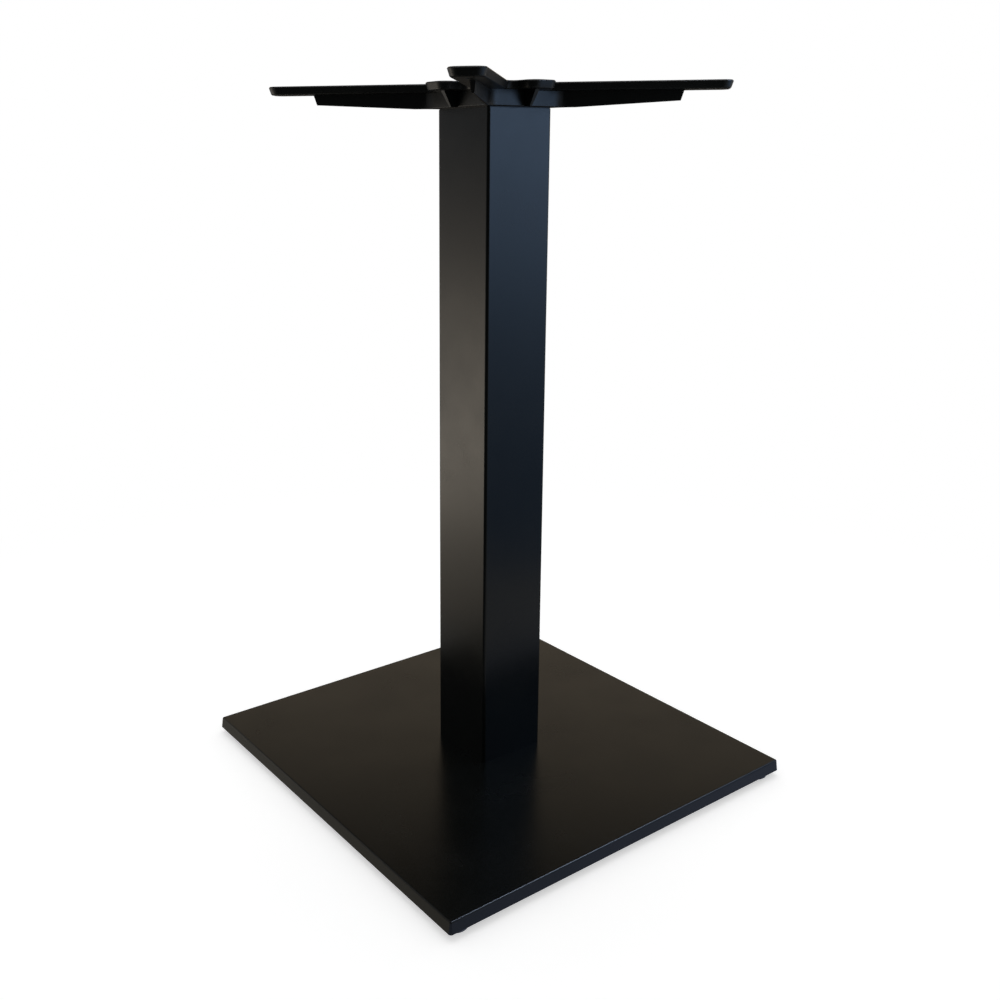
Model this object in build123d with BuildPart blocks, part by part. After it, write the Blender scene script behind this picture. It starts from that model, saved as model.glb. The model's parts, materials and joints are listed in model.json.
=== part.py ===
"""Square pedestal table base.

A drafted cast-iron foot plate stands on four screw-in glides and carries a square steel column.
A four-armed cast spider on the column takes the table top. One tie rod down the middle of the
column, with a nut at each end, clamps plate, column and spider together.

Millimetres, +Z up. The origin is on the floor, under the middle of the column.
"""
import os
from math import radians, sqrt, tan

from build123d import *

os.makedirs("parts", exist_ok=True)

# Foot plate, a casting with a hollow, ribbed underside
plate_side = 450.0  # across the lower edge
plate_height = 12.0
plate_draft = 7.0  # slope of the plate's edge, degrees
plate_corner_radius = 3.0
plate_edge_radius = 1.5  # round on the upper edge
plate_skin = 6.5  # wall over the hollow underside
plate_rim_width = 12.0
plate_rib_width = 8.0
pocket_corner_radius = 6.0  # round in the corners of the cast pockets

# Lug on the plate that centres the column, hollow below for the lower nut
lug_height = 10.0
lug_wall = 7.5
lug_roof = 7.0
lug_edge_chamfer = 1.5
lug_ring_width = 9.0  # wall round the nut pocket on the underside

# Column, a square tube
column_side = 80.0
column_wall = 2.0
column_corner_radius = 3.0
column_length = 687.0
column_fit_clearance = 0.3  # between the tube's inside and each lug that enters it

# Spider, a casting: flange, hub, and a rib under each arm and ear
spider_height = 24.0  # from the column's upper end to the table top
flange_thickness = 8.0
flange_draft = 18.0  # slope of the flange's edge, degrees
flange_web_radius = 6.0  # round in the corner between an arm and an ear
flange_edge_height = 1.0  # bevel along the upper and lower edges
flange_edge_angle = 45.0
arm_reach = 228.0  # from the column's axis to the arm's tip
arm_tip_width = 33.0
arm_root_width = 37.0
arm_tip_radius = 11.0
arm_rib_reach = 183.0  # outer end of the rib, at the flange
arm_rib_end_height = 10.0  # height of the rib's outer end below the flange
rib_root_width = 5.0  # at the flange
rib_edge_width = 2.4  # at the lower edge
rib_edge_chamfer = 0.6  # along the lower edge
rib_end_draft = 17.0  # slope of the arm rib's outer end, degrees
ear_reach = 77.0
ear_tip_width = 34.0
ear_root_width = 44.0
ear_tip_radius = 12.0
ear_rib_reach = 64.0  # at the flange
ear_rib_foot_reach = 54.5  # at the hub's lower edge
hub_side = 95.0
hub_flare_radius = 30.0  # hollow curve from the hub's wall to an arm's rib
hub_wall = 8.5
hub_floor = 6.0
hub_edge_chamfer = 1.0  # on the hub's lower rim
seat_height = 1.0  # pad under the hub that lands on the column's end
seat_inset = 0.5  # pad inside the column's outline
lip_height = 6.0  # ring under the hub that enters the column
lip_wall = 5.0
screw_hole_diameter = 7.0
screw_hole_setback = 22.0  # from the arm's tip

# Tie rod and its nuts and washers, M10
rod_diameter = 10.0
rod_hole_clearance = 1.0  # on the diameter
rod_end_proud = 2.0  # beyond each nut
rod_end_chamfer = 1.2
nut_width = 16.0  # across the flats
nut_height = 8.4
nut_face_diameter = 15.0  # round face left by the nut's chamfer
nut_face_angle = 30.0
washer_diameter = 30.0
washer_thickness = 2.5
spring_washer_diameter = 18.1
spring_washer_thickness = 2.2
spring_washer_gap = 2.0  # width of the split
washer_bore_clearance = 1.0  # on the diameter
thread_clearance = 0.1  # round the rod, in nuts and spring washer

# Glides, a nylon foot moulded on the head of an M8 stem
glide_inset = 18.0  # from the plate's lower edges
glides_per_side = 2
glide_boss_diameter = 28.0
foot_diameter = 26.0
foot_top_diameter = 21.0
foot_height = 7.0
foot_rim_height = 4.0
foot_edge_chamfer = 0.5  # on the foot's lower edge
foot_sole = 2.0  # under the stem's head
stem_diameter = 8.0
stem_length = 9.0  # above the foot
stem_end_chamfer = 1.0
stem_head_diameter = 13.0
stem_head_height = 2.5
stem_clearance = 0.3  # round the stem, in the plate and in the foot
glide_hole_run_out = 1.0  # beyond the stem's end

# Levels and places that follow from the sizes above
plate_bottom = foot_height
plate_top = plate_bottom + plate_height
column_top = plate_top + column_length
table_level = column_top + spider_height
flange_bottom = table_level - flange_thickness
hub_bottom = column_top + seat_height
hub_floor_top = hub_bottom + hub_floor
column_bore = column_side - 2 * column_wall
column_bore_radius = column_corner_radius - column_wall
lug_side = column_bore - 2 * column_fit_clearance
lug_top = plate_top + lug_height
nut_pocket_side = lug_side - 2 * lug_wall
nut_pocket_top = lug_top - lug_roof
rod_hole_diameter = rod_diameter + rod_hole_clearance
glide_spacing = plate_side - 2 * glide_inset
arm_angle = 45.0  # the arms lie over the column's corners
arm_count = 4

# Foot plate
with BuildPart() as foot_plate:
    with BuildSketch(Plane.XY.offset(plate_bottom)):
        RectangleRounded(plate_side, plate_side, plate_corner_radius)
    extrude(amount=plate_height, taper=plate_draft)
    fillet(foot_plate.faces().sort_by(Axis.Z)[-1].edges(), plate_edge_radius)
    # Lug, with its sides inside the column's bore
    with BuildSketch(Plane.XY.offset(plate_top)):
        RectangleRounded(lug_side, lug_side, column_bore_radius + lug_edge_chamfer)
    extrude(amount=lug_height)
    chamfer(foot_plate.faces().sort_by(Axis.Z)[-1].edges(), lug_edge_chamfer)
    # Hollow underside between rim, ring, ribs and glide bosses
    with BuildSketch(Plane.XY.offset(plate_bottom)):
        hollow_side = plate_side - 2 * plate_rim_width
        RectangleRounded(hollow_side, hollow_side, pocket_corner_radius)
        ring_side = nut_pocket_side + 2 * lug_ring_width
        RectangleRounded(ring_side, ring_side, pocket_corner_radius, mode=Mode.SUBTRACT)
        with PolarLocations(0, arm_count):
            Rectangle(plate_side, plate_rib_width, mode=Mode.SUBTRACT)
        with PolarLocations(0, arm_count, arm_angle):
            Rectangle(glide_spacing * sqrt(2), plate_rib_width, mode=Mode.SUBTRACT)
        with GridLocations(glide_spacing, glide_spacing, glides_per_side, glides_per_side):
            Circle(glide_boss_diameter / 2, mode=Mode.SUBTRACT)
    extrude(amount=plate_height - plate_skin, mode=Mode.SUBTRACT)
    # Pocket for the lower nut
    with BuildSketch(Plane.XY.offset(plate_bottom)):
        RectangleRounded(nut_pocket_side, nut_pocket_side, pocket_corner_radius)
    extrude(amount=nut_pocket_top - plate_bottom, mode=Mode.SUBTRACT)
    with Locations((0, 0, lug_top)):
        Hole(rod_hole_diameter / 2)
    # Blind threaded holes for the glides
    with BuildSketch(Plane.XY.offset(plate_bottom)):
        with GridLocations(glide_spacing, glide_spacing, glides_per_side, glides_per_side):
            Circle(stem_diameter / 2 + stem_clearance)
    extrude(amount=stem_length + glide_hole_run_out, mode=Mode.SUBTRACT)

# Column
with BuildPart() as column_tube:
    with BuildSketch(Plane.XY.offset(plate_top)):
        RectangleRounded(column_side, column_side, column_corner_radius)
        RectangleRounded(column_bore, column_bore, column_bore_radius, mode=Mode.SUBTRACT)
    extrude(amount=column_length)

# Plan of one arm, along +X
with BuildSketch() as arm_plan:
    with BuildLine():
        Polyline(
            (0, -arm_root_width / 2),
            (arm_reach, -arm_tip_width / 2),
            (arm_reach, arm_tip_width / 2),
            (0, arm_root_width / 2),
            close=True,
        )
    make_face()
    fillet(arm_plan.vertices().group_by(Axis.X)[-1], arm_tip_radius)

# Plan of one ear, along +X
with BuildSketch() as ear_plan:
    with BuildLine():
        Polyline(
            (0, -ear_root_width / 2),
            (ear_reach, -ear_tip_width / 2),
            (ear_reach, ear_tip_width / 2),
            (0, ear_root_width / 2),
            close=True,
        )
    make_face()
    fillet(ear_plan.vertices().group_by(Axis.X)[-1], ear_tip_radius)

# Rib under one arm, along +X: from a strip under the flange to a narrower one on its sloping edge
hub_corner = hub_side / sqrt(2)
rib_start = hub_corner + hub_flare_radius * tan(radians(arm_angle / 2))
rib_end_z = flange_bottom - arm_rib_end_height
rib_end_x = arm_rib_reach - arm_rib_end_height * tan(radians(rib_end_draft))
rib_fall = (rib_end_z - hub_bottom) / (rib_end_x - rib_start)
rib_inner_x = hub_side / 2
rib_inner_z = rib_end_z - rib_fall * (rib_end_x - rib_inner_x)
rib_edge_centre = ((rib_inner_x + rib_end_x) / 2, 0, (rib_inner_z + rib_end_z) / 2)
rib_edge_run = Vector(rib_end_x - rib_inner_x, 0, rib_end_z - rib_inner_z)
with BuildPart() as arm_rib:
    with BuildSketch(Plane.XY.offset(flange_bottom)):
        with Locations(((rib_inner_x + arm_rib_reach) / 2, 0)):
            Rectangle(arm_rib_reach - rib_inner_x, rib_root_width)
    with BuildSketch(Plane(rib_edge_centre, x_dir=rib_edge_run, z_dir=rib_edge_run.cross(Vector(0, 1, 0)))):
        Rectangle(rib_edge_run.length, rib_edge_width)
    loft(ruled=True)
    chamfer(arm_rib.faces().sort_by(Axis.Z)[0].edges().sort_by(SortBy.LENGTH)[-2:], rib_edge_chamfer)

# Gusset under one ear, along +X
with BuildPart() as ear_rib:
    with BuildSketch(Plane.XY.offset(flange_bottom)):
        with Locations((ear_rib_reach / 2, 0)):
            Rectangle(ear_rib_reach, rib_root_width)
    with BuildSketch(Plane.XY.offset(hub_bottom)):
        with Locations((ear_rib_foot_reach / 2, 0)):
            Rectangle(ear_rib_foot_reach, rib_edge_width)
    loft(ruled=True)

# Hub, with a hollow curve from each wall to the ribs
with BuildPart() as hub:
    with BuildSketch(Plane.XY.offset(hub_bottom)) as hub_plan:
        Rectangle(hub_side, hub_side)
        with PolarLocations(0, arm_count, arm_angle):
            Rectangle(2 * rib_start + rib_edge_width, rib_edge_width)
        hub_corners = hub_plan.vertices().sort_by_distance((0, 0, 0))
        fillet(hub_corners[: 2 * arm_count], hub_flare_radius)
    extrude(amount=flange_bottom - hub_bottom)
    chamfer(hub.faces().sort_by(Axis.Z)[0].edges(), hub_edge_chamfer)

# Spider
with BuildPart() as spider:
    # Flange, with the corners between arms and ears rounded, widest below its upper bevel
    with BuildSketch(Plane.XY.offset(table_level - flange_edge_height)) as flange_plan:
        with PolarLocations(0, arm_count, arm_angle):
            add(arm_plan.sketch)
        with PolarLocations(0, arm_count):
            add(ear_plan.sketch)
        inner_corners = flange_plan.vertices().sort_by_distance((0, 0, 0))
        fillet(inner_corners[: 2 * arm_count], flange_web_radius)
    extrude(amount=flange_edge_height, taper=flange_edge_angle)
    drafted_height = flange_thickness - 2 * flange_edge_height
    extrude(flange_plan.sketch, amount=drafted_height, dir=(0, 0, -1), taper=flange_draft)
    lower_face = spider.faces().sort_by(Axis.Z)[0]
    extrude(lower_face, amount=flange_edge_height, taper=flange_edge_angle)
    # Hub, ribs and gussets under it
    add(hub.part)
    with PolarLocations(0, arm_count, arm_angle):
        add(arm_rib.part)
    with PolarLocations(0, arm_count):
        add(ear_rib.part)
    split(bisect_by=Plane.XY.offset(hub_bottom), keep=Keep.TOP)
    # Pad on the column's end, and the lip inside it
    with BuildSketch(Plane.XY.offset(column_top)):
        seat_side = column_side - 2 * seat_inset
        RectangleRounded(seat_side, seat_side, column_corner_radius - seat_inset)
    extrude(amount=seat_height)
    with BuildSketch(Plane.XY.offset(column_top - lip_height)):
        RectangleRounded(lug_side, lug_side, column_bore_radius + lug_edge_chamfer)
        lip_bore = lug_side - 2 * lip_wall
        RectangleRounded(lip_bore, lip_bore, column_bore_radius, mode=Mode.SUBTRACT)
    extrude(amount=lip_height)
    # Pocket for the upper nut, rod hole and screw holes
    with BuildSketch(Plane.XY.offset(hub_floor_top)):
        hub_pocket_side = hub_side - 2 * hub_wall
        RectangleRounded(hub_pocket_side, hub_pocket_side, pocket_corner_radius)
    extrude(amount=table_level - hub_floor_top, mode=Mode.SUBTRACT)
    with Locations((0, 0, hub_floor_top)):
        Hole(rod_hole_diameter / 2)
    with PolarLocations(arm_reach - screw_hole_setback, arm_count, arm_angle):
        with Locations((0, 0, table_level)):
            Hole(screw_hole_diameter / 2, depth=flange_thickness)

# Tie rod, from the nut pocket under the plate to the one in the hub
lower_nut_bottom = nut_pocket_top - washer_thickness - nut_height
upper_nut_bottom = hub_floor_top + washer_thickness + spring_washer_thickness
rod_bottom = lower_nut_bottom - rod_end_proud
rod_top = upper_nut_bottom + nut_height + rod_end_proud
with BuildPart() as tie_rod:
    with BuildSketch(Plane.XY.offset(rod_bottom)):
        Circle(rod_diameter / 2)
    extrude(amount=rod_top - rod_bottom)
    chamfer(tie_rod.edges().filter_by(GeomType.CIRCLE), rod_end_chamfer)


def flat_washer(bottom):
    """A plain round washer on the tie rod."""
    with BuildPart() as washer:
        with BuildSketch(Plane.XY.offset(bottom)):
            Circle(washer_diameter / 2)
            Circle((rod_diameter + washer_bore_clearance) / 2, mode=Mode.SUBTRACT)
        extrude(amount=washer_thickness)
    return washer


def hexagon_nut(bottom):
    """A hexagon nut on the tie rod, chamfered at both faces."""
    with BuildPart() as nut:
        with BuildSketch(Plane.XY.offset(bottom)):
            RegularPolygon(nut_width / 2, 6, major_radius=False)
            Circle(rod_diameter / 2 + thread_clearance, mode=Mode.SUBTRACT)
        extrude(amount=nut_height)
        # The chamfer is a cone that leaves a round face at each end
        corner_radius = nut_width / sqrt(3)
        face_radius = nut_face_diameter / 2
        chamfer_height = (corner_radius - face_radius) * tan(radians(nut_face_angle))
        with BuildSketch(Plane.XZ):
            with BuildLine():
                Polyline(
                    (0, bottom),
                    (face_radius, bottom),
                    (corner_radius, bottom + chamfer_height),
                    (corner_radius, bottom + nut_height - chamfer_height),
                    (face_radius, bottom + nut_height),
                    (0, bottom + nut_height),
                    close=True,
                )
            make_face()
        revolve(axis=Axis.Z, mode=Mode.INTERSECT)
    return nut


lower_washer = flat_washer(nut_pocket_top - washer_thickness)
lower_nut = hexagon_nut(lower_nut_bottom)
upper_washer = flat_washer(hub_floor_top)
upper_nut = hexagon_nut(upper_nut_bottom)

# Spring washer, a split ring pressed flat under the upper nut
with BuildPart() as spring_washer:
    with BuildSketch(Plane.XY.offset(hub_floor_top + washer_thickness)):
        Circle(spring_washer_diameter / 2)
        Circle(rod_diameter / 2 + thread_clearance, mode=Mode.SUBTRACT)
        with Locations((spring_washer_diameter / 2, 0)):
            Rectangle(spring_washer_diameter, spring_washer_gap, mode=Mode.SUBTRACT)
    extrude(amount=spring_washer_thickness)

# One glide on its own axis: the foot, moulded round the head of the stem
head_top = foot_sole + stem_head_height
with BuildPart() as foot:
    with BuildSketch(Plane.XZ):
        with BuildLine():
            Polyline(
                (0, 0),
                (foot_diameter / 2 - foot_edge_chamfer, 0),
                (foot_diameter / 2, foot_edge_chamfer),
                (foot_diameter / 2, foot_rim_height),
                (foot_top_diameter / 2, foot_height),
                (stem_diameter / 2 + stem_clearance, foot_height),
                (stem_diameter / 2 + stem_clearance, head_top + stem_clearance),
                (stem_head_diameter / 2 + stem_clearance, head_top + stem_clearance),
                (stem_head_diameter / 2 + stem_clearance, foot_sole),
                (0, foot_sole),
                close=True,
            )
        make_face()
    revolve(axis=Axis.Z)

with BuildPart() as stem:
    with BuildSketch(Plane.XY.offset(foot_sole)):
        Circle(stem_head_diameter / 2)
    extrude(amount=stem_head_height)
    with BuildSketch(Plane.XY.offset(head_top)):
        Circle(stem_diameter / 2)
    extrude(amount=foot_height + stem_length - head_top)
    chamfer(stem.edges().sort_by(Axis.Z)[-1], stem_end_chamfer)

pieces = {
    "foot_plate": foot_plate,
    "column_tube": column_tube,
    "spider": spider,
    "tie_rod": tie_rod,
    "lower_washer": lower_washer,
    "lower_nut": lower_nut,
    "upper_washer": upper_washer,
    "spring_washer": spring_washer,
    "upper_nut": upper_nut,
}
glide_places = GridLocations(glide_spacing, glide_spacing, glides_per_side, glides_per_side)
for number, corner in enumerate(glide_places, start=1):
    for kind, shape in (("foot", foot), ("stem", stem)):
        with BuildPart() as glide_piece:
            with Locations(corner):
                add(shape.part)
        pieces[f"glide_{number}_{kind}"] = glide_piece

for name, piece in pieces.items():
    piece.part.label = name
    export_step(piece.part, f"parts/{name}.step")
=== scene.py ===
"""Square pedestal table base: coats, plating, screw threads and a white studio.

Laid out as an add-on and run as a script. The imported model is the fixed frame: every piece takes
its place and size from it. Metres, +Z up, origin on the floor under the column.
"""
import json
from math import radians

import bmesh
import bpy
from bpy.props import FloatProperty, FloatVectorProperty, PointerProperty
from bpy.types import Operator, Panel, PropertyGroup
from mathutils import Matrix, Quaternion, Vector

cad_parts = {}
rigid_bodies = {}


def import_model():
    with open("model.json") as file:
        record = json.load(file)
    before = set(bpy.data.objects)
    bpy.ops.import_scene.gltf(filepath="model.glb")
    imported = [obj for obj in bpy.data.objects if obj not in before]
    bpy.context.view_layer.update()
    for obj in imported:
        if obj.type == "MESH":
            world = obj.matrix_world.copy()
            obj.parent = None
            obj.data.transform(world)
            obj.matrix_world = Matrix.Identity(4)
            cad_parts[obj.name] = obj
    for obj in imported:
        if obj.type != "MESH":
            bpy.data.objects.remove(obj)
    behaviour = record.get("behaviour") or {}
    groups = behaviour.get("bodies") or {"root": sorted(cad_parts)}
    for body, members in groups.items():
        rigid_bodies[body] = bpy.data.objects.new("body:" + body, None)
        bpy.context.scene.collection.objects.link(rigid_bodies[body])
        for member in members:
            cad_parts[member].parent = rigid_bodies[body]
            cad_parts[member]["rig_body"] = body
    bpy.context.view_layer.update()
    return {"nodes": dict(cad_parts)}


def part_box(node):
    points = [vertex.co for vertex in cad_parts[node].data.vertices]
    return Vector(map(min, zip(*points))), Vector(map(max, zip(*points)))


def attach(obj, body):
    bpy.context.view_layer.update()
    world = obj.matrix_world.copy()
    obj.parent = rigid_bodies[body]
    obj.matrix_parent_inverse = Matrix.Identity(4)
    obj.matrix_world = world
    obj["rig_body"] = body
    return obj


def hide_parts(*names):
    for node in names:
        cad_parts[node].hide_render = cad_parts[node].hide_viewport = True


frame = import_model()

bl_info = {
    "name": "Square table base",
    "version": (1, 0, 0),
    "blender": (4, 5, 0),
    "location": "3D View > Sidebar > Table base",
    "description": "Finishes, screw threads and studio for a square pedestal table base",
    "category": "Object",
}

MM = 0.001
WASHERS_AND_NUTS = ("lower_washer", "lower_nut", "upper_washer", "spring_washer", "upper_nut")
GLIDE_NUMBERS = (1, 2, 3, 4)

# A Mix node holds the sockets of every data type, and these are its colour ones
MIX_COLOUR_A = 6
MIX_COLOUR_B = 7
MIX_COLOUR_RESULT = 2


def linear(hex_colour):
    """An sRGB hex colour as linear red, green, blue and alpha."""
    colour = []
    for i in (1, 3, 5):
        c = int(hex_colour[i : i + 2], 16) / 255
        colour.append(c / 12.92 if c <= 0.04045 else ((c + 0.055) / 1.055) ** 2.4)
    return (*colour, 1.0)


def add_node(tree, kind, inputs=None, **settings):
    """Add one node with its settings, and link or set its inputs."""
    node = tree.nodes.new(kind)
    for name, value in settings.items():
        setattr(node, name, value)
    for name, value in (inputs or {}).items():
        if isinstance(value, bpy.types.NodeSocket):
            tree.links.new(value, node.inputs[name])
        else:
            node.inputs[name].default_value = value
    return node


class CoatSettings(PropertyGroup):
    """Colours and surface of the base's finishes."""

    coat_colour: FloatVectorProperty(
        name="Powder coat", description="Black of the powder coat", subtype="COLOR",
        size=4, min=0, max=1, default=linear("#040606"),
    )
    smudge_colour: FloatVectorProperty(
        name="Handled coat", description="Coat where hands have dulled it", subtype="COLOR",
        size=4, min=0, max=1, default=linear("#080a09"),
    )
    zinc_colour: FloatVectorProperty(
        name="Zinc", description="Bright zinc plating", subtype="COLOR",
        size=4, min=0, max=1, default=linear("#b9bdc2"),
    )
    nylon_colour: FloatVectorProperty(
        name="Nylon", description="Black of the moulded feet", subtype="COLOR",
        size=4, min=0, max=1, default=linear("#151516"),
    )
    coat_roughness: FloatProperty(
        name="Coat roughness", description="Blur of reflections in the coat on smooth metal",
        subtype="FACTOR", min=0, max=1, default=0.24,
    )
    cast_roughness: FloatProperty(
        name="Casting roughness", description="Blur of reflections in the coat on the cast spider",
        subtype="FACTOR", min=0, max=1, default=0.36,
    )
    coat_gloss: FloatProperty(
        name="Coat gloss", description="Strength of reflections in the satin coat",
        subtype="FACTOR", min=0, max=1, default=0.11,
    )
    peel_size: FloatProperty(
        name="Orange peel", description="Width of one ripple in the powder coat", unit="LENGTH",
        min=0.1 * MM, default=2.4 * MM,
    )
    grain_size: FloatProperty(
        name="Cast grain", description="Width of one grain of the sand-cast skin", unit="LENGTH",
        min=0.1 * MM, default=3.6 * MM,
    )
    smudge_size: FloatProperty(
        name="Smudges", description="Width of one handled patch", unit="LENGTH",
        min=1 * MM, default=70 * MM,
    )


class ThreadSettings(PropertyGroup):
    """Sizes of the screw threads on the tie rod and the glides."""

    rod_pitch: FloatProperty(
        name="Rod pitch", description="Pitch of the tie rod's M10 thread", unit="LENGTH",
        default=1.5 * MM,
    )
    rod_thread_length: FloatProperty(
        name="Rod thread", description="Threaded length at each end of the tie rod", unit="LENGTH",
        default=30 * MM,
    )
    stem_diameter: FloatProperty(
        name="Stem diameter", description="Outside of the glides' M8 thread", unit="LENGTH",
        default=8 * MM,
    )
    stem_pitch: FloatProperty(
        name="Stem pitch", description="Pitch of the glides' M8 thread", unit="LENGTH",
        default=1.25 * MM,
    )
    stem_head_height: FloatProperty(
        name="Stem head", description="Height of the stem's head inside the foot", unit="LENGTH",
        default=2.5 * MM,
    )
    depth_ratio: FloatProperty(
        name="Depth ratio", description="Depth of a thread as a share of its pitch",
        subtype="FACTOR", min=0.1, max=0.8, default=0.613,
    )


class StudioSettings(PropertyGroup):
    """Camera, floor and light."""

    camera_place: FloatVectorProperty(
        name="Camera", description="Where the camera stands", subtype="TRANSLATION", unit="LENGTH",
        default=(0.8779, -0.7187, 0.6598),
    )
    camera_aim: FloatVectorProperty(
        name="Aim", description="Point that the camera looks at", subtype="TRANSLATION",
        unit="LENGTH", default=(0.0104, -0.0946, 0.3989),
    )
    camera_roll: FloatProperty(
        name="Roll", description="Turn of the camera about its own line of sight", subtype="ANGLE",
        default=radians(-0.34),
    )
    camera_lens: FloatProperty(
        name="Lens", description="Focal length on a 36 mm sensor", subtype="DISTANCE_CAMERA",
        default=39.63,
    )
    camera_shift: FloatVectorProperty(
        name="Shift", description="Part of the frame by which the picture is cropped off centre",
        size=2, default=(0.0753, -0.0734),
    )
    floor_radius: FloatProperty(
        name="Floor", description="Radius of the round floor", unit="LENGTH", default=6.0,
    )
    floor_colour: FloatVectorProperty(
        name="Floor colour", description="Paint of the floor", subtype="COLOR",
        size=4, min=0, max=1, default=linear("#e6e6e6"),
    )
    floor_glow: FloatProperty(
        name="Floor glow", description="White that the seen floor adds to its lit paint",
        subtype="FACTOR", min=0, max=1, default=0.5,
    )
    sky_strength: FloatProperty(
        name="Sky", description="Light from the white surroundings", min=0, default=0.55,
    )


def new_material(name):
    """A new material and its empty node tree."""
    material = bpy.data.materials.new(name)
    material.use_nodes = True
    material.node_tree.nodes.clear()
    return material, material.node_tree


# Handled patches lie between these values of their noise, and move the coat's blur by these steps
SMUDGE_LOW, SMUDGE_HIGH = 0.3, 0.7
GLOSSIER, DULLER = -0.03, 0.04
# Heights of the coat's ripples and of the casting's grain, and how much of the grain shows through
PEEL_HEIGHT, PEEL_STRENGTH = 0.2 * MM, 0.05
GRAIN_HEIGHT = 0.4 * MM
GROUND_GRAIN, CAST_GRAIN, NO_GRAIN = 0.03, 0.1, 0.0


def powder_coat(name, settings, blur, grain_strength):
    """Satin black polyester powder coat, baked on.

    Blurred reflections with a faint orange peel. Handling leaves soft patches that are a little
    duller. On a casting the coat also follows the sand-cast grain of the iron. Peel and grain are
    drawn about twice as coarse as the real ones, which would be too fine to show.
    """
    material, tree = new_material(name)
    place = add_node(tree, "ShaderNodeTexCoord").outputs["Object"]
    smudges = add_node(
        tree, "ShaderNodeTexNoise",
        {"Vector": place, "Scale": 1 / settings.smudge_size, "Detail": 3.0, "Roughness": 0.55},
    ).outputs["Fac"]
    colour = add_node(
        tree, "ShaderNodeMix",
        {
            "Factor": smudges,
            MIX_COLOUR_A: settings.coat_colour,
            MIX_COLOUR_B: settings.smudge_colour,
        },
        data_type="RGBA",
    )
    roughness = add_node(
        tree, "ShaderNodeMapRange",
        {
            "Value": smudges, "From Min": SMUDGE_LOW, "From Max": SMUDGE_HIGH,
            "To Min": blur + GLOSSIER, "To Max": blur + DULLER,
        },
    )
    peel = add_node(
        tree, "ShaderNodeTexNoise",
        {"Vector": place, "Scale": 1 / settings.peel_size, "Detail": 1.0, "Roughness": 0.4},
    )
    normal = add_node(
        tree, "ShaderNodeBump",
        {"Height": peel.outputs["Fac"], "Strength": PEEL_STRENGTH, "Distance": PEEL_HEIGHT},
    ).outputs["Normal"]
    if grain_strength:
        grain = add_node(
            tree, "ShaderNodeTexNoise",
            {"Vector": place, "Scale": 1 / settings.grain_size, "Detail": 4.0, "Roughness": 0.6},
        )
        normal = add_node(
            tree, "ShaderNodeBump",
            {
                "Height": grain.outputs["Fac"], "Normal": normal,
                "Strength": grain_strength, "Distance": GRAIN_HEIGHT,
            },
        ).outputs["Normal"]
    shader = add_node(
        tree, "ShaderNodeBsdfPrincipled",
        {
            "Base Color": colour.outputs[MIX_COLOUR_RESULT],
            "Roughness": roughness.outputs["Result"],
            "Normal": normal,
            "Specular IOR Level": settings.coat_gloss,
        },
    )
    add_node(tree, "ShaderNodeOutputMaterial", {"Surface": shader.outputs["BSDF"]})
    return material


# Width of the zinc's cloudy patches, and the blur of its reflections across them
ZINC_CLOUD_SIZE = 2.0 * MM
ZINC_BRIGHT, ZINC_DULL = 0.22, 0.42


def zinc_plate(settings):
    """Bright zinc electroplate on steel: cool grey metal, uneven in gloss from the bath."""
    material, tree = new_material("Steel, bright zinc plate")
    place = add_node(tree, "ShaderNodeTexCoord").outputs["Object"]
    clouds = add_node(
        tree, "ShaderNodeTexNoise",
        {"Vector": place, "Scale": 1 / ZINC_CLOUD_SIZE, "Detail": 3.0, "Roughness": 0.6},
    )
    roughness = add_node(
        tree, "ShaderNodeMapRange",
        {"Value": clouds.outputs["Fac"], "To Min": ZINC_BRIGHT, "To Max": ZINC_DULL},
    )
    shader = add_node(
        tree, "ShaderNodeBsdfPrincipled",
        {
            "Base Color": settings.zinc_colour, "Metallic": 1.0,
            "Roughness": roughness.outputs["Result"],
        },
    )
    add_node(tree, "ShaderNodeOutputMaterial", {"Surface": shader.outputs["BSDF"]})
    return material


# Width and height of the grain that the mould leaves on the nylon
MOULD_GRAIN_SIZE = 0.4 * MM
MOULD_GRAIN_HEIGHT = 0.05 * MM


def moulded_nylon(settings):
    """Black nylon from a spark-eroded mould: matt, with a fine even grain."""
    material, tree = new_material("Nylon, moulded black")
    place = add_node(tree, "ShaderNodeTexCoord").outputs["Object"]
    grain = add_node(
        tree, "ShaderNodeTexNoise",
        {"Vector": place, "Scale": 1 / MOULD_GRAIN_SIZE, "Detail": 1.0},
    )
    bump = add_node(
        tree, "ShaderNodeBump",
        {"Height": grain.outputs["Fac"], "Strength": 0.25, "Distance": MOULD_GRAIN_HEIGHT},
    )
    shader = add_node(
        tree, "ShaderNodeBsdfPrincipled",
        {
            "Base Color": settings.nylon_colour, "Roughness": 0.55,
            "Normal": bump.outputs["Normal"],
        },
    )
    add_node(tree, "ShaderNodeOutputMaterial", {"Surface": shader.outputs["BSDF"]})
    return material


# Merging and shading of a CAD node's copy
MERGE_DISTANCE = 0.002 * MM
FLAT_ANGLE = radians(0.3)
SHARP_ANGLE = radians(50)


def link(name, mesh):
    """A new object at the origin that shows the mesh."""
    piece = bpy.data.objects.new(name, mesh)
    bpy.context.scene.collection.objects.link(piece)
    return piece


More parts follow.
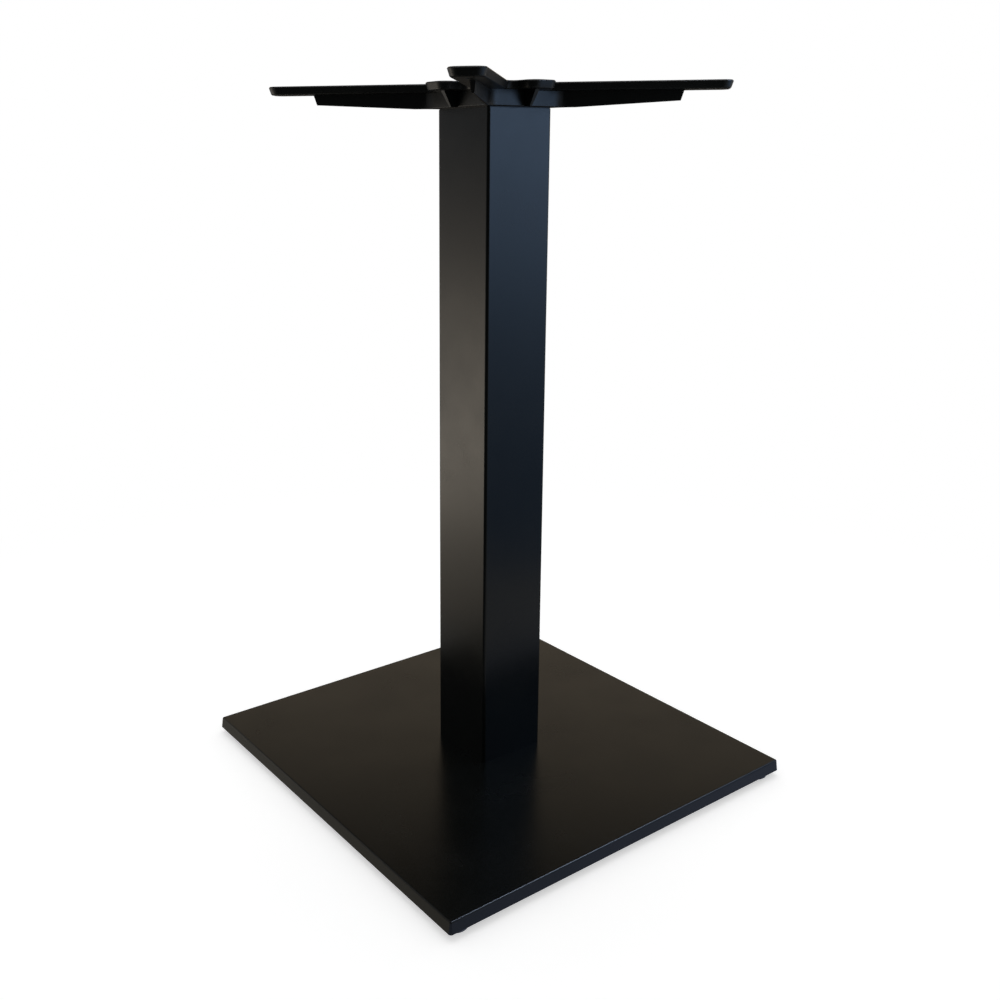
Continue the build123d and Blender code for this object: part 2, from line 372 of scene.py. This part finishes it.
def smooth_copy(node, name, material):
    """Stand for a CAD node with its triangles merged and its bevels shaded round."""
    mesh = frame["nodes"][node].data.copy()
    mesh.name = name
    mesh.attributes.remove(mesh.attributes["custom_normal"])
    shape = bmesh.new()
    shape.from_mesh(mesh)
    bmesh.ops.remove_doubles(shape, verts=shape.verts, dist=MERGE_DISTANCE)
    bmesh.ops.dissolve_limit(shape, angle_limit=FLAT_ANGLE, verts=shape.verts, edges=shape.edges)
    for face in shape.faces:
        face.smooth = True
    for edge in shape.edges:
        edge.smooth = edge.calc_face_angle(0.0) < SHARP_ANGLE
    shape.to_mesh(mesh)
    shape.free()
    mesh.materials.clear()
    mesh.materials.append(material)
    piece = link(name, mesh)
    shading = piece.modifiers.new("Bevels shaded round", "WEIGHTED_NORMAL")
    shading.keep_sharp = True
    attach(piece, frame["nodes"][node]["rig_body"])
    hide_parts(node)


class TABLEBASE_OT_castings(Operator):
    """Coat the cast foot plate, which is ground smooth, and the spider, which is left as cast"""

    bl_idname = "table_base.castings"
    bl_label = "Castings"

    def execute(self, context):
        settings = context.scene.table_base_coats
        ground = powder_coat(
            "Ground cast iron, satin black powder coat", settings,
            settings.coat_roughness, GROUND_GRAIN,
        )
        smooth_copy("foot_plate", "coated_foot_plate", ground)
        rough = powder_coat(
            "Rough cast iron, satin black powder coat", settings,
            settings.cast_roughness, CAST_GRAIN,
        )
        smooth_copy("spider", "coated_spider", rough)
        return {"FINISHED"}


class TABLEBASE_OT_column(Operator):
    """Coat the square steel column"""

    bl_idname = "table_base.column"
    bl_label = "Column"

    def execute(self, context):
        settings = context.scene.table_base_coats
        coat = powder_coat(
            "Steel tube, satin black powder coat", settings, settings.coat_roughness, NO_GRAIN,
        )
        smooth_copy("column_tube", "coated_column", coat)
        return {"FINISHED"}


# Sockets of the thread's node tree, with the kind of each
STUD_INPUTS = {
    "Place": "NodeSocketVector",
    "Length": "NodeSocketFloat",
    "Thread Radius": "NodeSocketFloat",
    "Thread Depth": "NodeSocketFloat",
    "Pitch": "NodeSocketFloat",
    "Threads": "NodeSocketInt",
    "Thread Start": "NodeSocketFloat",
    "Thread Step": "NodeSocketFloat",
    "Thread Length": "NodeSocketFloat",
    "Plain Start": "NodeSocketFloat",
    "Plain Length": "NodeSocketFloat",
    "Plain Radius": "NodeSocketFloat",
    "Material": "NodeSocketMaterial",
}
# The thread's ridge is a 60 degree triangle whose foot is sunk into the core. It runs out at each
# end over half a turn, to a sliver that the core hides.
RIDGE_SINK = 0.05 * MM
RIDGE_CORNERS = 3
RUN_OUT_TURNS = 0.5
RUN_OUT_SCALE = 0.04
# Sides of a round rod, and steps in one turn of a thread
ROUND_SIDES = 32


def stud_tree():
    """Nodes of a stud along Z: a core, right-handed threads wound round it and one plain length."""
    tree = bpy.data.node_groups.new("Threaded stud", "GeometryNodeTree")
    for name, kind in STUD_INPUTS.items():
        tree.interface.new_socket(name, in_out="INPUT", socket_type=kind)
    tree.interface.new_socket("Stud", in_out="OUTPUT", socket_type="NodeSocketGeometry")
    size = add_node(tree, "NodeGroupInput").outputs

    def rod(radius, start, length):
        cylinder = add_node(
            tree, "GeometryNodeMeshCylinder",
            {"Radius": radius, "Depth": length, "Vertices": ROUND_SIDES},
        )
        middle = add_node(
            tree, "ShaderNodeMath", {0: length, 1: 0.5, 2: start}, operation="MULTIPLY_ADD",
        )
        lift = add_node(tree, "ShaderNodeCombineXYZ", {"Z": middle.outputs["Value"]})
        return add_node(
            tree, "GeometryNodeTransform",
            {"Geometry": cylinder.outputs["Mesh"], "Translation": lift.outputs["Vector"]},
        ).outputs["Geometry"]

    core_radius = add_node(
        tree, "ShaderNodeMath", {0: size["Thread Radius"], 1: size["Thread Depth"]},
        operation="SUBTRACT",
    ).outputs["Value"]
    foot_radius = add_node(
        tree, "ShaderNodeMath", {0: core_radius, 1: RIDGE_SINK}, operation="SUBTRACT",
    ).outputs["Value"]
    turns = add_node(
        tree, "ShaderNodeMath", {0: size["Thread Length"], 1: size["Pitch"]}, operation="DIVIDE",
    ).outputs["Value"]
    helix = add_node(
        tree, "GeometryNodeCurveSpiral",
        {
            "Resolution": ROUND_SIDES, "Rotations": turns, "Start Radius": foot_radius,
            "End Radius": foot_radius, "Height": size["Thread Length"], "Reverse": True,
        },
    )
    upright = add_node(
        tree, "GeometryNodeSetCurveNormal", {"Curve": helix.outputs["Curve"]}, mode="Z_UP",
    )
    # A round of three points is the ridge's triangle: two thirds of its height are the radius, and
    # a third of its height brings its foot onto the helix
    height = add_node(
        tree, "ShaderNodeMath", {0: size["Thread Radius"], 1: foot_radius}, operation="SUBTRACT",
    ).outputs["Value"]
    third = add_node(
        tree, "ShaderNodeMath", {0: height, 1: 3.0}, operation="DIVIDE",
    ).outputs["Value"]
    two_thirds = add_node(
        tree, "ShaderNodeMath", {0: height, 1: third}, operation="SUBTRACT",
    ).outputs["Value"]
    triangle = add_node(
        tree, "GeometryNodeCurvePrimitiveCircle",
        {"Resolution": RIDGE_CORNERS, "Radius": two_thirds}, mode="RADIUS",
    )
    outwards = add_node(tree, "ShaderNodeCombineXYZ", {"X": third})
    ridge = add_node(
        tree, "GeometryNodeTransform",
        {"Geometry": triangle.outputs["Curve"], "Translation": outwards.outputs["Vector"]},
    )
    along = add_node(tree, "GeometryNodeSplineParameter").outputs["Factor"]
    end_gap = add_node(
        tree, "ShaderNodeMath", {0: along, 1: 0.5}, operation="PINGPONG",
    ).outputs["Value"]
    turns_in = add_node(
        tree, "ShaderNodeMath", {0: end_gap, 1: turns}, operation="MULTIPLY",
    ).outputs["Value"]
    run_out = add_node(
        tree, "ShaderNodeMapRange",
        {"Value": turns_in, "From Max": RUN_OUT_TURNS, "To Min": RUN_OUT_SCALE},
    )
    thread = add_node(
        tree, "GeometryNodeCurveToMesh",
        {
            "Curve": upright.outputs["Curve"], "Profile Curve": ridge.outputs["Geometry"],
            "Scale": run_out.outputs["Result"], "Fill Caps": True,
        },
    )
    first = add_node(tree, "ShaderNodeCombineXYZ", {"Z": size["Thread Start"]})
    step = add_node(tree, "ShaderNodeCombineXYZ", {"Z": size["Thread Step"]})
    ends = add_node(
        tree, "GeometryNodeMeshLine",
        {
            "Count": size["Threads"], "Start Location": first.outputs["Vector"],
            "Offset": step.outputs["Vector"],
        },
        mode="OFFSET",
    )
    threads = add_node(
        tree, "GeometryNodeInstanceOnPoints",
        {"Points": ends.outputs["Mesh"], "Instance": thread.outputs["Mesh"]},
    ).outputs["Instances"]
    core = rod(core_radius, 0.0, size["Length"])
    plain = rod(size["Plain Radius"], size["Plain Start"], size["Plain Length"])
    joined = add_node(tree, "GeometryNodeJoinGeometry")
    for part in (threads, core, plain):
        tree.links.new(part, joined.inputs["Geometry"])
    placed = add_node(
        tree, "GeometryNodeTransform",
        {"Geometry": joined.outputs["Geometry"], "Translation": size["Place"]},
    )
    real = add_node(tree, "GeometryNodeRealizeInstances", {"Geometry": placed.outputs["Geometry"]})
    finished = add_node(
        tree, "GeometryNodeSetMaterial",
        {"Geometry": real.outputs["Geometry"], "Material": size["Material"]},
    )
    add_node(tree, "NodeGroupOutput", {"Stud": finished.outputs["Geometry"]})
    return tree


def stud(node, name, body, tree, sizes):
    """Stand for a CAD stud with a really threaded one that moves with the body."""
    maker = link(name + "_maker", bpy.data.meshes.new(name + "_maker"))
    modifier = maker.modifiers.new("Threaded stud", "NODES")
    modifier.node_group = tree
    for socket in tree.interface.items_tree:
        if socket.in_out == "INPUT":
            modifier[socket.identifier] = sizes[socket.name]
    graph = bpy.context.evaluated_depsgraph_get()
    mesh = bpy.data.meshes.new_from_object(maker.evaluated_get(graph))
    mesh.name = name
    bpy.data.objects.remove(maker)
    if not mesh.polygons:
        raise RuntimeError(f"{name}: the thread's node tree made no faces")
    # The tree's own shapes bring an empty slot along
    mesh.materials.clear()
    mesh.materials.append(sizes["Material"])
    mesh.shade_smooth()
    mesh.set_sharp_from_angle(angle=SHARP_ANGLE)
    piece = link(name, mesh)
    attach(piece, body)
    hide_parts(node)


def finish_nodes(nodes, material):
    """Give CAD nodes whose shape is right their material."""
    for node in nodes:
        for slot in frame["nodes"][node].material_slots:
            slot.material = material


def tie_rod(settings, tree, zinc):
    """The rod down the column, threaded at both ends for its nuts."""
    low, high = (Vector(corner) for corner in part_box("tie_rod"))
    radius = (high.x - low.x) / 2
    length = high.z - low.z
    threaded = settings.rod_thread_length
    sizes = {
        "Place": ((low.x + high.x) / 2, (low.y + high.y) / 2, low.z), "Length": length,
        "Thread Radius": radius, "Thread Depth": settings.depth_ratio * settings.rod_pitch,
        "Pitch": settings.rod_pitch, "Threads": 2, "Thread Start": 0.0,
        "Thread Step": length - threaded, "Thread Length": threaded, "Plain Start": threaded,
        "Plain Length": length - 2 * threaded, "Plain Radius": radius, "Material": zinc,
    }
    stud("tie_rod", "threaded_tie_rod", "stand", tree, sizes)


def glide_stem(n, settings, tree, zinc):
    """One glide's screw with its round head, which turns with the foot that is moulded onto it."""
    low, high = (Vector(corner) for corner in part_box(f"glide_{n}_stem"))
    length = high.z - low.z
    head = settings.stem_head_height
    sizes = {
        "Place": ((low.x + high.x) / 2, (low.y + high.y) / 2, low.z), "Length": length,
        "Thread Radius": settings.stem_diameter / 2,
        "Thread Depth": settings.depth_ratio * settings.stem_pitch, "Pitch": settings.stem_pitch,
        "Threads": 1, "Thread Start": head, "Thread Step": 0.0, "Thread Length": length - head,
        "Plain Start": 0.0, "Plain Length": head, "Plain Radius": (high.x - low.x) / 2,
        "Material": zinc,
    }
    stud(f"glide_{n}_stem", f"threaded_glide_stem_{n}", f"glide_{n}_foot", tree, sizes)


class TABLEBASE_OT_fasteners(Operator):
    """Thread the tie rod and the glides' stems, and plate them with the nuts and washers"""

    bl_idname = "table_base.fasteners"
    bl_label = "Tie rod, stems, nuts and washers"

    def execute(self, context):
        settings = context.scene.table_base_threads
        zinc = zinc_plate(context.scene.table_base_coats)
        finish_nodes(WASHERS_AND_NUTS, zinc)
        tree = stud_tree()
        tie_rod(settings, tree, zinc)
        for n in GLIDE_NUMBERS:
            glide_stem(n, settings, tree, zinc)
        return {"FINISHED"}


class TABLEBASE_OT_feet(Operator):
    """Give the glides' feet moulded nylon"""

    bl_idname = "table_base.feet"
    bl_label = "Glide feet"

    def execute(self, context):
        feet = [f"glide_{n}_foot" for n in GLIDE_NUMBERS]
        finish_nodes(feet, moulded_nylon(context.scene.table_base_coats))
        return {"FINISHED"}


# The lamp that lights the base, beside the surroundings' own light
OVERHEAD_LAMP = {
    "name": "overhead_lamp", "place": (-0.3, 0.3, 2.4), "aim": (0.0, 0.0, 0.0),
    "size": (1.2, 1.2), "colour": "#ffffff", "power": 10.0,
}

# Colours of the panels
WALL_PAPER = "#ffebcf"
WARM_LIGHT = "#fff2df"
SOFT_WARM_LIGHT = "#fff4e6"
DAYLIGHT = "#f0f6ff"
COOL_LIGHT = "#b1d3ff"
LOW_COOL_LIGHT = "#b8d4ff"
WINDOW_LIGHT = "#cfe0ff"
PALE_WARM = "#fff7e7"
PALE_COOL = "#ccdbff"
BLACK_CLOTH = "#050505"
GREY_CLOTH = "#5a5a5a"
DARK_MAT = "#3f3f3f"

MAT_HEIGHT = 1 * MM


def rising(colour, *steps):
    """Rows of one colour, each with its part of the panel's height and its strength."""
    return tuple((height, colour, strength) for height, strength in steps)


def even(colour, strength=1.0):
    """Rows of a panel that is the same all over."""
    return rising(colour, (0.0, strength), (1.0, strength))


def mat(name, x, y, size, rows):
    """A panel that lies on the floor, face up."""
    return {
        "name": name, "place": (x, y, MAT_HEIGHT), "aim": (x, y, 1.0), "size": size, "rows": rows,
    }


# Panels that only reflections show. Behind the base stands a warm wall with its lower part in the
# dark and a dark cloth above it, and in front hangs a grey cloth. On the left a warm mat lies on
# the floor with a warm screen beyond it, on the right stand cool screens, and behind on the right
# a high window catches the plate's edge. On the floor lie dark mats in front, behind and beside,
# and a pale one along each near edge of the plate. Rows go up from a panel's lower edge, each with
# its part of the height, its colour and its strength. The warm mat's aim leans a little, which
# turns it so that its rows go away from the base.
PANELS = (
    {
        "name": "warm_wall", "place": (-2.3, 2.0, 1.15), "aim": (0.0, 0.0, 1.15),
        "size": (4.4, 2.3),
        "rows": rising(WALL_PAPER, (0.0, 0.1), (0.33, 0.1), (0.42, 0.95), (1.0, 0.95)),
    },
    {
        "name": "high_cloth", "place": (-1.5, 1.3, 2.43), "aim": (0.0, 0.0, 0.0),
        "size": (4.4, 1.7), "rows": even(BLACK_CLOTH),
    },
    {
        "name": "front_cloth", "place": (0.28, -0.58, 0.6), "aim": (-0.516, 0.026, 0.6),
        "size": (1.58, 1.2), "rows": even(GREY_CLOTH),
    },
    {
        "name": "warm_mat", "place": (-1.066, -0.955, 0.004), "aim": (-1.0645, -0.9537, 1.0),
        "size": (0.5, 2.05),
        "rows": rising(
            WARM_LIGHT, (0.0, 1.0), (0.08, 1.55), (0.16, 2.1), (0.26, 3.8),
            (0.35, 5.5), (0.46, 7.5), (0.64, 6.8), (1.0, 5.6),
        ),
    },
    {
        "name": "warm_screen", "place": (-1.87, -1.645, 0.45), "aim": (0.0, -0.04, 0.45),
        "size": (1.0, 0.9),
        "rows": (
            (0.0, WARM_LIGHT, 5.6), (0.38, SOFT_WARM_LIGHT, 1.85),
            (0.83, DAYLIGHT, 0.55), (1.0, DAYLIGHT, 0.55),
        ),
    },
    {
        "name": "low_cool_screen", "place": (0.495, 0.39, 0.1), "aim": (0.04, 0.0, 0.1),
        "size": (0.6, 0.2), "rows": ((0.0, LOW_COOL_LIGHT, 0.85), (1.0, COOL_LIGHT, 1.15)),
    },
    {
        "name": "high_cool_screen", "place": (0.95, 0.78, 0.46), "aim": (0.04, 0.0, 0.46),
        "size": (0.8, 0.88),
        "rows": rising(
            COOL_LIGHT, (0.0, 1.15), (0.09, 1.35), (0.325, 2.35), (0.48, 3.9), (0.8, 7.9),
            (1.0, 9.6),
        ),
    },
    {
        "name": "high_window", "place": (0.58, 1.25, 1.65), "aim": (0.225, 0.0, 0.03),
        "size": (0.71, 1.05),
        "rows": rising(
            WINDOW_LIGHT, (0.0, 4.0), (0.17, 6.0), (0.31, 16.0), (0.44, 20.0), (0.56, 33.0),
            (0.77, 48.0), (1.0, 62.0),
        ),
    },
    mat("back_mat", -1.225, 1.27, (2.75, 2.06), even(DARK_MAT)),
    mat("side_mat", -1.42, 0.045, (2.36, 0.39), even(DARK_MAT)),
    mat("left_mat", 0.0, -0.25, (1.0, 0.07), even(PALE_WARM, 0.72)),
    mat("front_mat", 0.1, -0.66, (1.4, 0.75), even(DARK_MAT)),
    mat("right_mat", 0.245, 0.0, (0.06, 1.0), rising(PALE_COOL, (0.0, 1.5), (1.0, 1.2))),
)


def reflected_panel(name, place, aim, size, rows):
    """One flat panel that only reflections show."""
    facing = (Vector(aim) - Vector(place)).to_track_quat("-Z", "Y")
    corners = []
    light = []
    for height, colour, strength in rows:
        for side in (-0.5, 0.5):
            corner = Vector((side * size[0], (height - 0.5) * size[1], 0.0))
            corners.append(Vector(place) + facing @ corner)
            light.extend(strength * channel for channel in linear(colour))
    mesh = bpy.data.meshes.new(name)
    mesh.from_pydata(corners, [], [(i, i + 1, i + 3, i + 2) for i in range(0, len(corners) - 2, 2)])
    mesh.attributes.new("light", "FLOAT_COLOR", "POINT").data.foreach_set("color", light)
    material, tree = new_material("Studio panel " + name)
    colour = add_node(tree, "ShaderNodeAttribute", attribute_name="light").outputs["Color"]
    glow = add_node(tree, "ShaderNodeEmission", {"Color": colour, "Strength": 1.0})
    add_node(tree, "ShaderNodeOutputMaterial", {"Surface": glow.outputs["Emission"]})
    mesh.materials.append(material)
    board = link(name, mesh)
    board.visible_camera = False
    board.visible_diffuse = False
    board.visible_shadow = False
    board.visible_transmission = False


def soft_lamp(name, place, aim, size, colour, power):
    """One rectangular soft lamp that the camera doesn't see."""
    light = bpy.data.lights.new(name, "AREA")
    light.shape = "RECTANGLE"
    light.size, light.size_y = size
    light.color = linear(colour)[:3]
    light.energy = power
    lamp = link(name, light)
    lamp.location = place
    lamp.rotation_euler = (Vector(aim) - Vector(place)).to_track_quat("-Z", "Y").to_euler()
    lamp.visible_camera = False


def seen(tree):
    """1 on rays that show a surface: camera, reflection, transmission. 0 on rays of light only."""
    path = add_node(tree, "ShaderNodeLightPath").outputs
    either = add_node(
        tree, "ShaderNodeMath", {0: path["Is Camera Ray"], 1: path["Is Glossy Ray"]},
        operation="MAXIMUM",
    ).outputs["Value"]
    return add_node(
        tree, "ShaderNodeMath", {0: either, 1: path["Is Transmission Ray"]}, operation="MAXIMUM",
    ).outputs["Value"]


def white_world(settings):
    """Surroundings that look white and light the object at a plain level."""
    world = bpy.data.worlds.new("White studio")
    bpy.context.scene.world = world
    world.use_nodes = True
    tree = world.node_tree
    tree.nodes.clear()
    light = add_node(
        tree, "ShaderNodeBackground",
        {"Color": linear("#ffffff"), "Strength": settings.sky_strength},
    )
    white = add_node(tree, "ShaderNodeBackground", {"Color": linear("#ffffff"), "Strength": 1.0})
    both = add_node(
        tree, "ShaderNodeMixShader",
        {"Fac": seen(tree), 1: light.outputs["Background"], 2: white.outputs["Background"]},
    )
    add_node(tree, "ShaderNodeOutputWorld", {"Surface": both.outputs["Shader"]})


# Distances from the base between which the floor fades into the white surroundings
FADE_START = 0.45
FADE_END = 1.1
FLOOR_SIDES = 96


def floor_paint(settings):
    """Matt white floor paint: soft shadow near the base, white like the surroundings far out."""
    material, tree = new_material("Floor, matt white paint")
    is_seen = seen(tree)
    paint = add_node(tree, "ShaderNodeBsdfDiffuse", {"Color": settings.floor_colour})
    glow_strength = add_node(
        tree, "ShaderNodeMath", {0: is_seen, 1: settings.floor_glow}, operation="MULTIPLY",
    )
    glow = add_node(
        tree, "ShaderNodeEmission",
        {"Color": linear("#ffffff"), "Strength": glow_strength.outputs["Value"]},
    )
    near = add_node(
        tree, "ShaderNodeAddShader", {0: paint.outputs["BSDF"], 1: glow.outputs["Emission"]},
    )
    white = add_node(tree, "ShaderNodeEmission", {"Color": linear("#ffffff"), "Strength": 1.0})
    place = add_node(tree, "ShaderNodeTexCoord").outputs["Object"]
    distance = add_node(tree, "ShaderNodeVectorMath", {0: place}, operation="LENGTH")
    far = add_node(
        tree, "ShaderNodeMapRange",
        {"Value": distance.outputs["Value"], "From Min": FADE_START, "From Max": FADE_END},
        interpolation_type="SMOOTHSTEP",
    )
    shown_far = add_node(
        tree, "ShaderNodeMath", {0: far.outputs["Result"], 1: is_seen}, operation="MULTIPLY",
    )
    both = add_node(
        tree, "ShaderNodeMixShader",
        {
            "Fac": shown_far.outputs["Value"],
            1: near.outputs["Shader"], 2: white.outputs["Emission"],
        },
    )
    add_node(tree, "ShaderNodeOutputMaterial", {"Surface": both.outputs["Shader"]})
    return material


def white_floor(settings):
    """A round floor under the glides."""
    mesh = bpy.data.meshes.new("studio_floor")
    shape = bmesh.new()
    bmesh.ops.create_circle(
        shape, cap_ends=True, segments=FLOOR_SIDES, radius=settings.floor_radius,
    )
    shape.to_mesh(mesh)
    shape.free()
    mesh.materials.append(floor_paint(settings))
    link("studio_floor", mesh)


SENSOR_WIDTH_MM = 36.0


def camera(settings):
    """The photograph's viewpoint."""
    lens = bpy.data.cameras.new("studio_camera")
    lens.sensor_fit = "HORIZONTAL"
    lens.sensor_width = SENSOR_WIDTH_MM
    lens.lens = settings.camera_lens
    lens.shift_x, lens.shift_y = settings.camera_shift
    stand = link("studio_camera", lens)
    place = Vector(settings.camera_place)
    level = (Vector(settings.camera_aim) - place).to_track_quat("-Z", "Y")
    stand.location = place
    stand.rotation_euler = (level @ Quaternion((0, 0, 1), settings.camera_roll)).to_euler()
    bpy.context.scene.camera = stand


class TABLEBASE_OT_stage(Operator):
    """Set up the white studio: surroundings, floor, lamp, reflected panels and camera"""

    bl_idname = "table_base.stage"
    bl_label = "Studio"

    def execute(self, context):
        settings = context.scene.table_base_studio
        white_world(settings)
        white_floor(settings)
        soft_lamp(**OVERHEAD_LAMP)
        for board in PANELS:
            reflected_panel(**board)
        camera(settings)
        context.scene.view_settings.view_transform = "Standard"
        return {"FINISHED"}


class TABLEBASE_PT_sidebar(Panel):
    """Finishes, threads and studio of the table base"""

    bl_label = "Square table base"
    bl_space_type = "VIEW_3D"
    bl_region_type = "UI"
    bl_category = "Table base"

    def draw(self, context):
        scene = context.scene
        for settings in (scene.table_base_coats, scene.table_base_threads, scene.table_base_studio):
            box = self.layout.box()
            for name in settings.bl_rna.properties.keys():
                if name not in ("rna_type", "name"):
                    box.prop(settings, name)
        for operator in OPERATORS:
            self.layout.operator(operator.bl_idname)


SETTINGS = {
    "table_base_coats": CoatSettings,
    "table_base_threads": ThreadSettings,
    "table_base_studio": StudioSettings,
}
OPERATORS = (
    TABLEBASE_OT_castings, TABLEBASE_OT_column, TABLEBASE_OT_fasteners, TABLEBASE_OT_feet,
    TABLEBASE_OT_stage,
)


def register():
    for name, group in SETTINGS.items():
        bpy.utils.register_class(group)
        setattr(bpy.types.Scene, name, PointerProperty(type=group))
    for operator in OPERATORS:
        bpy.utils.register_class(operator)
    bpy.utils.register_class(TABLEBASE_PT_sidebar)


def unregister():
    bpy.utils.unregister_class(TABLEBASE_PT_sidebar)
    for operator in reversed(OPERATORS):
        bpy.utils.unregister_class(operator)
    for name, group in SETTINGS.items():
        delattr(bpy.types.Scene, name)
        bpy.utils.unregister_class(group)


def main():
    register()
    bpy.ops.table_base.castings()
    bpy.ops.table_base.column()
    bpy.ops.table_base.fasteners()
    bpy.ops.table_base.feet()
    bpy.ops.table_base.stage()


if __name__ == "__main__":
    main()
